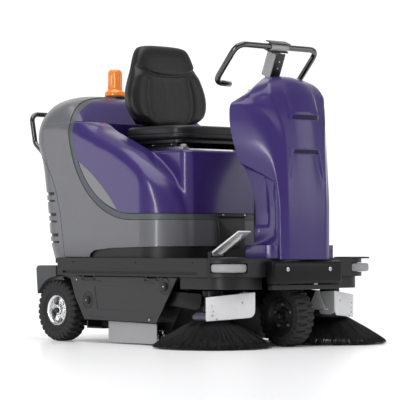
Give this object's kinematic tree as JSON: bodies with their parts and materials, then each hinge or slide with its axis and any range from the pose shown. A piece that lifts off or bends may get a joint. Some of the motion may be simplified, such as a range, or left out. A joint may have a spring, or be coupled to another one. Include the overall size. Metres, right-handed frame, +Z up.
{
  "type": "ride-on sweeper",
  "caption": "Ride-on floor sweeper with a steered front wheel, cylindrical main brush, two side brushes, seat, handlebar, warning beacon and a dust hopper that pulls out at the rear.",
  "frame": {"origin": "on the floor at the middle of the overall length and width", "axes": "+X forward, the way the machine drives; +Y to the driver's left; +Z up"},
  "size_m": [1.478, 1.14, 1.261],
  "materials": {
    "violet_shell": "gloss",
    "grey_shell": "satin",
    "dark_trim": "satin",
    "black_plastic": "satin",
    "black_frame": "satin",
    "pale_bracket": "satin",
    "pale_rubber": "matte",
    "tyre_rubber": "matte",
    "bright_rim": "polished",
    "dark_hub": "satin",
    "black_tube": "gloss",
    "vinyl": "satin",
    "bristle": "matte",
    "orange_lens": "gloss",
    "roller_plastic": "satin",
    "steel": "brushed",
    "red_button": "gloss"
  },
  "bodies": {
    "chassis": {"chassis_frame": "black_frame", "brush_chamber": "black_frame", "side_skirts": "pale_rubber", "rear_fenders": "black_plastic", "bumper_rail": "black_plastic", "rail_skirt": "black_plastic", "front_bumper": "black_plastic", "platform": "black_plastic", "steering_column": "violet_shell", "column_cover": "black_plastic", "console": "dark_trim", "body_shell": "grey_shell", "arch_band": "dark_trim", "beacon_base": "black_plastic", "beacon_lens": "orange_lens", "footwell_panel": "dark_trim", "battery_pack": "black_plastic", "suction_fan": "dark_trim"},
    "steering": {"front_fork": "black_frame", "steering_stem": "pale_bracket", "bar_clamp": "black_frame", "handlebar": "black_tube"},
    "front_wheel": {"front_tyre": "tyre_rubber", "front_rim": "dark_hub"},
    "rear_wheel_right": {"rear_tyre_right": "tyre_rubber", "rear_rim_right": "bright_rim"},
    "rear_wheel_left": {"rear_tyre_left": "tyre_rubber", "rear_rim_left": "bright_rim"},
    "main_brush": {"main_brush_core": "black_plastic", "main_brush_bristles": "bristle"},
    "arm_right": {"side_brush_arm_right": "pale_bracket"},
    "arm_left": {"side_brush_arm_left": "pale_bracket"},
    "side_brush_right": {"side_brush_disc_right": "black_plastic", "side_brush_bristles_right": "bristle"},
    "side_brush_left": {"side_brush_disc_left": "black_plastic", "side_brush_bristles_left": "bristle"},
    "roller_right": {"bumper_roller_right": "roller_plastic"},
    "roller_left": {"bumper_roller_left": "roller_plastic"},
    "accelerator": {"accelerator_pedal": "pale_bracket"},
    "brake": {"brake_pedal": "black_frame"},
    "hood": {"hood_shell": "violet_shell", "seat_rails": "steel"},
    "seat": {"seat_base": "black_frame", "seat_cushion": "vinyl", "seat_backrest": "vinyl"},
    "seat_release": {"seat_lever": "black_frame"},
    "hopper": {"dust_hopper": "black_plastic", "rear_door": "grey_shell", "grab_bar": "black_tube"},
    "cover_right": {"side_cover_right": "dark_trim"},
    "cover_left": {"side_cover_left": "dark_trim"},
    "knob_right_rear": {"cover_knob_right_rear": "black_plastic"},
    "knob_right_front": {"cover_knob_right_front": "black_plastic"},
    "knob_left_rear": {"cover_knob_left_rear": "black_plastic"},
    "knob_left_front": {"cover_knob_left_front": "black_plastic"},
    "key": {"key_switch": "steel"},
    "horn": {"horn_button": "black_plastic"},
    "stop": {"stop_button": "red_button"}
  },
  "joints": [
    {"name": "steering_turn", "type": "hinge", "parent": "chassis", "child": "steering", "pos_m": [0.578, 0, 0.122], "axis": [-0.1011, 0, 0.9949], "range_deg": [-46, 46]},
    {"name": "front_wheel_spin", "type": "hinge", "parent": "steering", "child": "front_wheel", "pos_m": [0.578, 0, 0.122], "axis": [0, 1, 0], "continuous": true},
    {"name": "rear_wheel_right_spin", "type": "hinge", "parent": "chassis", "child": "rear_wheel_right", "pos_m": [-0.424, -0.36, 0.13], "axis": [0, 1, 0], "continuous": true},
    {"name": "rear_wheel_left_spin", "type": "hinge", "parent": "chassis", "child": "rear_wheel_left", "pos_m": [-0.424, 0.36, 0.13], "axis": [0, 1, 0], "continuous": true},
    {"name": "main_brush_spin", "type": "hinge", "parent": "chassis", "child": "main_brush", "pos_m": [0.04, 0, 0.132], "axis": [0, 1, 0], "continuous": true},
    {"name": "side_brush_right_lift", "type": "hinge", "parent": "chassis", "child": "arm_right", "pos_m": [0.25, -0.368, 0.2], "axis": [0, -1, 0], "range_deg": [0, 4.5]},
    {"name": "side_brush_left_lift", "type": "hinge", "parent": "chassis", "child": "arm_left", "pos_m": [0.25, 0.368, 0.2], "axis": [0, -1, 0], "range_deg": [0, 4.5]},
    {"name": "side_brush_right_spin", "type": "hinge", "parent": "arm_right", "child": "side_brush_right", "pos_m": [0.494, -0.326, 0.12], "axis": [0, 0, 1], "continuous": true},
    {"name": "side_brush_left_spin", "type": "hinge", "parent": "arm_left", "child": "side_brush_left", "pos_m": [0.494, 0.326, 0.12], "axis": [0, 0, 1], "continuous": true},
    {"name": "bumper_roller_right_spin", "type": "hinge", "parent": "chassis", "child": "roller_right", "pos_m": [0.607, -0.341, 0.316], "axis": [0, 0, 1], "continuous": true},
    {"name": "bumper_roller_left_spin", "type": "hinge", "parent": "chassis", "child": "roller_left", "pos_m": [0.607, 0.341, 0.316], "axis": [0, 0, 1], "continuous": true},
    {"name": "accelerator_press", "type": "hinge", "parent": "chassis", "child": "accelerator", "pos_m": [0.398, -0.217, 0.37], "axis": [0, 1, 0], "range_deg": [0, 14], "stiffness_Nm_per_rad": 12, "springref_deg": -20.05},
    {"name": "brake_press", "type": "hinge", "parent": "chassis", "child": "brake", "pos_m": [0.398, 0.217, 0.37], "axis": [0, 1, 0], "range_deg": [0, 14], "stiffness_Nm_per_rad": 12, "springref_deg": -20.05},
    {"name": "hood_tilt", "type": "hinge", "parent": "chassis", "child": "hood", "pos_m": [0.262, 0, 0.548], "axis": [0, 1, 0], "range_deg": [0, 26]},
    {"name": "seat_slide", "type": "slide", "parent": "hood", "child": "seat", "axis": [1, 0, 0], "range_m": [-0.04, 0.05]},
    {"name": "seat_release_lift", "type": "hinge", "parent": "seat", "child": "seat_release", "pos_m": [0.06, 0.2, 0.823], "axis": [0, -1, 0], "range_deg": [0, 10]},
    {"name": "hopper_pull", "type": "slide", "parent": "chassis", "child": "hopper", "axis": [-1, 0, 0], "range_m": [0, 0.4]},
    {"name": "side_cover_right_open", "type": "hinge", "parent": "chassis", "child": "cover_right", "pos_m": [0, -0.389, 0.27], "axis": [-1, 0, 0], "range_deg": [0, 70]},
    {"name": "side_cover_left_open", "type": "hinge", "parent": "chassis", "child": "cover_left", "pos_m": [0, 0.389, 0.27], "axis": [1, 0, 0], "range_deg": [0, 70]},
    {"name": "knob_right_rear_turn", "type": "hinge", "parent": "cover_right", "child": "knob_right_rear", "pos_m": [-0.215, -0.392, 0.177], "axis": [0, -1, 0], "range_deg": [0, 90]},
    {"name": "knob_right_front_turn", "type": "hinge", "parent": "cover_right", "child": "knob_right_front", "pos_m": [0.282, -0.392, 0.24], "axis": [0, -1, 0], "range_deg": [0, 90]},
    {"name": "knob_left_rear_turn", "type": "hinge", "parent": "cover_left", "child": "knob_left_rear", "pos_m": [-0.215, 0.392, 0.177], "axis": [0, 1, 0], "range_deg": [0, 90]},
    {"name": "knob_left_front_turn", "type": "hinge", "parent": "cover_left", "child": "knob_left_front", "pos_m": [0.282, 0.392, 0.24], "axis": [0, 1, 0], "range_deg": [0, 90]},
    {"name": "key_turn", "type": "hinge", "parent": "chassis", "child": "key", "pos_m": [0.477, -0.11, 1], "axis": [0, 0, -1], "range_deg": [0, 90]},
    {"name": "horn_press", "type": "slide", "parent": "chassis", "child": "horn", "axis": [0, 0, -1], "range_m": [0, 0.003], "stiffness_N_per_m": 500, "springref_m": -0.004},
    {"name": "stop_press", "type": "slide", "parent": "chassis", "child": "stop", "axis": [0, 0, -1], "range_m": [0, 0.004]}
  ]
}
